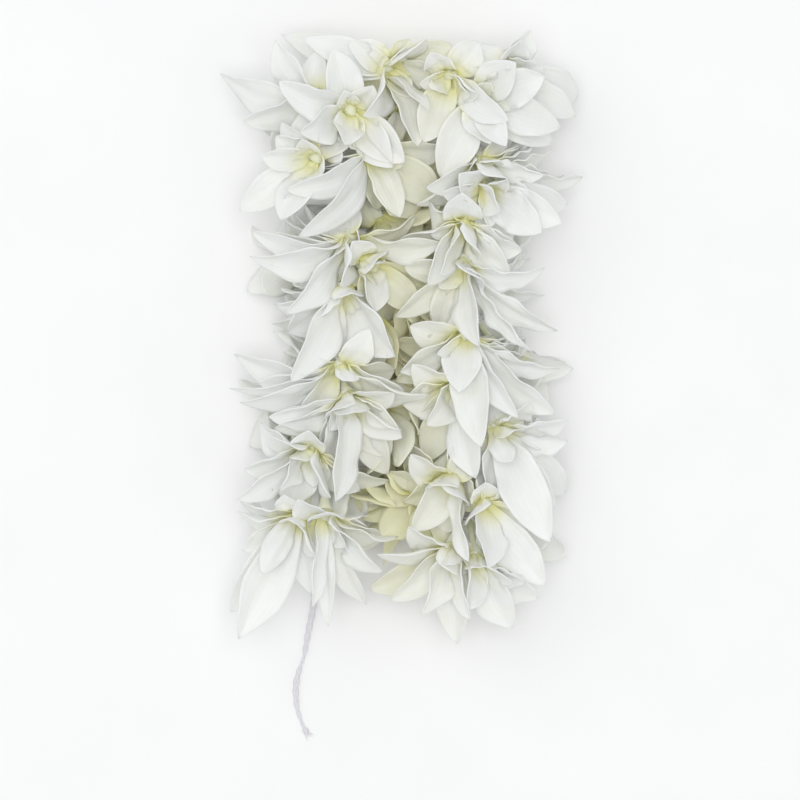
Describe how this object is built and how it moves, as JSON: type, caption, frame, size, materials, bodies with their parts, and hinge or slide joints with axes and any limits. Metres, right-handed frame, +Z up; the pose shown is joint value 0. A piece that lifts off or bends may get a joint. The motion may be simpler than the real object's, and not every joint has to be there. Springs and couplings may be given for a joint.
{
  "type": "pair of jasmine gajras",
  "caption": "Pair of jasmine flower strings lying side by side, white pointed-petal blooms knotted along cotton threads, with one loose thread end.",
  "frame": {"origin": "on the surface that the pair lies on, under the middle of its bounding box without the loose thread end", "axes": "+Y along the strings towards their top ends, the loose thread end trails towards -Y, +Z up out of the surface"},
  "size_m": [0.0744, 0.1404, 0.0278],
  "materials": {
    "petal": "soft matte petal, near white, yellow-green at the throat",
    "cotton": "plain twisted cotton thread"
  },
  "bodies": {
    "root": {"left_bottom_inner": "petal", "left_bottom_outer": "petal", "left_fifth": "petal", "left_fourth": "petal", "left_inner_1": "petal", "left_inner_2": "petal", "left_inner_3": "petal", "left_inner_4": "petal", "left_second_inner": "petal", "left_second_outer": "petal", "left_seventh": "petal", "left_sixth": "petal", "left_third": "petal", "left_third_inner": "petal", "left_thread": "cotton", "left_top_front": "petal", "left_top_middle": "petal", "left_top_outer": "petal", "left_under_1": "petal", "left_under_2": "petal", "left_under_3": "petal", "left_under_4": "petal", "left_under_5": "petal", "left_under_6": "petal", "right_bottom_inner": "petal", "right_bottom_outer": "petal", "right_eighth": "petal", "right_fifth": "petal", "right_fourth": "petal", "right_inner_1": "petal", "right_inner_2": "petal", "right_inner_3": "petal", "right_inner_4": "petal", "right_ninth": "petal", "right_second": "petal", "right_seventh": "petal", "right_sixth": "petal", "right_tenth": "petal", "right_third_inner": "petal", "right_third_outer": "petal", "right_thread": "cotton", "right_top_inner": "petal", "right_top_outer": "petal", "right_under_1": "petal", "right_under_2": "petal", "right_under_3": "petal", "right_under_4": "petal", "right_under_5": "petal", "right_under_6": "petal", "thread_tail": "cotton"}
  },
  "joints": []
}
